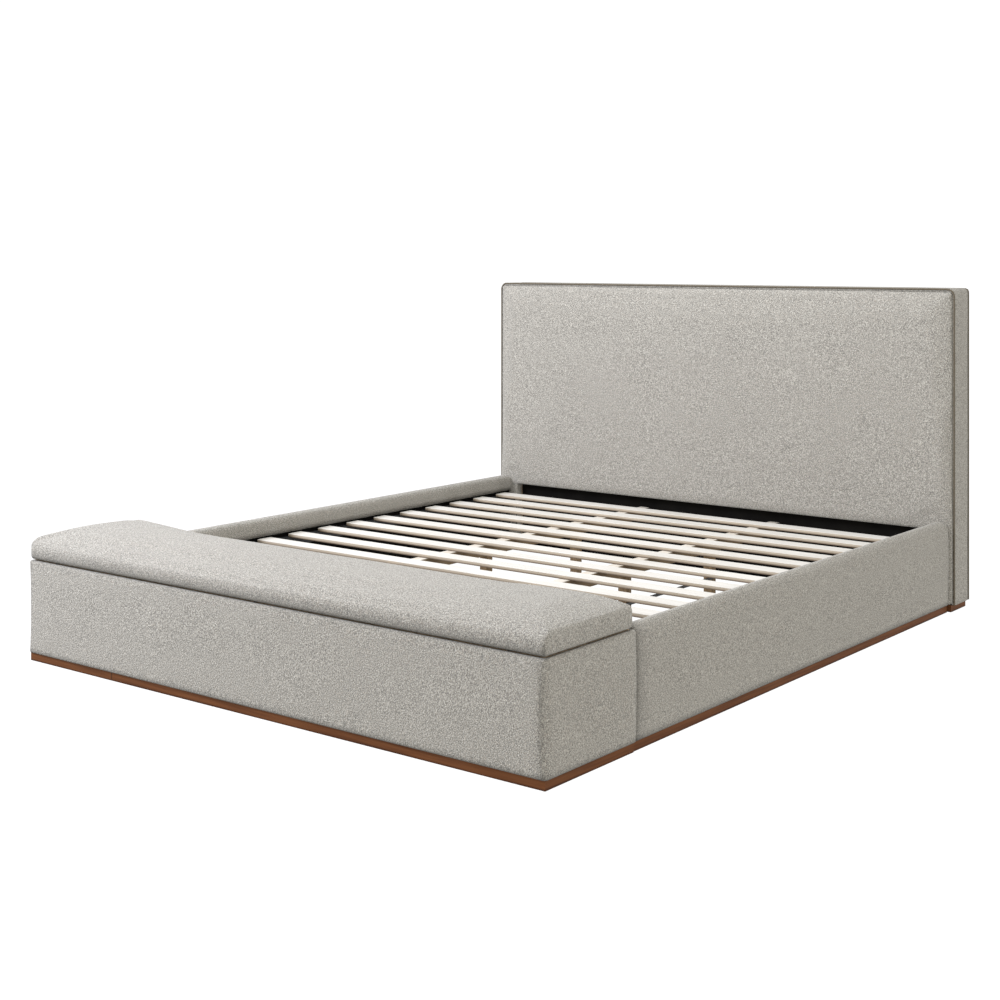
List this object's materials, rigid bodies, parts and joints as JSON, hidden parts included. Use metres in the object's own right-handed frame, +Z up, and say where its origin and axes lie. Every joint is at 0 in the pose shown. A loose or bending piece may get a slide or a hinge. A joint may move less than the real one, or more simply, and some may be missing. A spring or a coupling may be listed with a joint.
{
  "type": "storage bed",
  "caption": "Upholstered platform bed with a padded headboard, slatted base and a storage bench at the foot whose lid lifts on hinges and gas struts.",
  "frame": {"origin": "on the floor, under the middle of the bed's overall box", "axes": "+Z up, +X across the bed, +Y from the foot bench to the headboard"},
  "size_m": [2.08, 2.609, 1.17],
  "materials": {
    "upholstery": "textured greige boucle",
    "piping": "woven taupe welt",
    "walnut": "walnut stain, satin",
    "frame_timber": "sawn pine",
    "plywood": "sanded plywood",
    "slat_wood": "planed pale softwood",
    "leg_wood": "brown stain",
    "black_wood": "black, matt",
    "black_cloth": "black lining cloth",
    "black_steel": "black powder coat",
    "zinc_steel": "zinc plated",
    "strut_body": "black, satin",
    "strut_rod": "ground and chromed",
    "rubber": "matt black"
  },
  "bodies": {
    "bed": {"headboard_front_pad": "upholstery", "headboard_boxing": "upholstery", "headboard_back_panel": "upholstery", "right_rail_cover": "upholstery", "left_rail_cover": "upholstery", "bench_front_cover": "upholstery", "bench_end_covers": "upholstery", "bench_rear_cover": "upholstery", "headboard_piping": "piping", "headboard_plinth": "walnut", "rail_plinths": "walnut", "bench_plinth": "walnut", "headboard_frame": "frame_timber", "right_rail_core": "frame_timber", "left_rail_core": "frame_timber", "bench_base_battens": "frame_timber", "headboard_front_board": "plywood", "bench_front_panel": "plywood", "bench_back_panel": "plywood", "bench_end_panels": "plywood", "bench_floor_panel": "plywood", "headboard_skirt_panel": "black_cloth", "bay_linings": "black_cloth", "bench_lining": "black_cloth", "right_slat_ledger": "black_wood", "left_slat_ledger": "black_wood", "rail_brackets": "black_steel", "beam_hangers": "black_steel", "leg_brace": "black_steel", "box_strut_brackets": "black_steel", "bracket_bolts": "zinc_steel", "box_hinge_leaves": "zinc_steel", "hinge_pins": "zinc_steel", "slat_01": "slat_wood", "slat_02": "slat_wood", "slat_03": "slat_wood", "slat_04": "slat_wood", "slat_05": "slat_wood", "slat_06": "slat_wood", "slat_07": "slat_wood", "slat_08": "slat_wood", "slat_09": "slat_wood", "slat_10": "slat_wood", "slat_11": "slat_wood", "slat_12": "slat_wood", "slat_13": "slat_wood", "right_support_beam": "slat_wood", "left_support_beam": "slat_wood", "right_support_legs": "leg_wood", "left_support_legs": "leg_wood", "lid_bumpers": "rubber"},
    "lid": {"lid_board": "plywood", "lid_cushion": "upholstery", "lid_lining": "black_cloth", "lid_hinge_leaves": "zinc_steel", "lid_strut_brackets": "black_steel"},
    "right_cylinder": {"right_strut_cylinder": "strut_body"},
    "left_cylinder": {"left_strut_cylinder": "strut_body"},
    "right_rod": {"right_strut_rod": "strut_rod"},
    "left_rod": {"left_strut_rod": "strut_rod"}
  },
  "joints": [
    {"name": "lid_hinge", "type": "hinge", "parent": "bed", "child": "lid", "pos_m": [0, -0.9045, 0.321], "axis": [-1, 0, 0], "range_deg": [0, 80]},
    {"name": "right_cylinder_pivot", "type": "hinge", "parent": "bed", "child": "right_cylinder", "pos_m": [0.978, -0.9485, 0.15679], "axis": [-1, 0, 0], "range_deg": [0, 40]},
    {"name": "right_rod_pivot", "type": "hinge", "parent": "lid", "child": "right_rod", "pos_m": [0.978, -1.07307, 0.299], "axis": [1, 0, 0], "range_deg": [0, 40]},
    {"name": "left_cylinder_pivot", "type": "hinge", "parent": "bed", "child": "left_cylinder", "pos_m": [-0.978, -0.9485, 0.15679], "axis": [-1, 0, 0], "range_deg": [0, 40]},
    {"name": "left_rod_pivot", "type": "hinge", "parent": "lid", "child": "left_rod", "pos_m": [-0.978, -1.07307, 0.299], "axis": [1, 0, 0], "range_deg": [0, 40]}
  ],
  "couplings": [
    {"joint": "right_cylinder_pivot", "follows": "lid_hinge", "ratio": 0.5},
    {"joint": "right_rod_pivot", "follows": "lid_hinge", "ratio": 0.5},
    {"joint": "left_cylinder_pivot", "follows": "lid_hinge", "ratio": 0.5},
    {"joint": "left_rod_pivot", "follows": "lid_hinge", "ratio": 0.5}
  ]
}
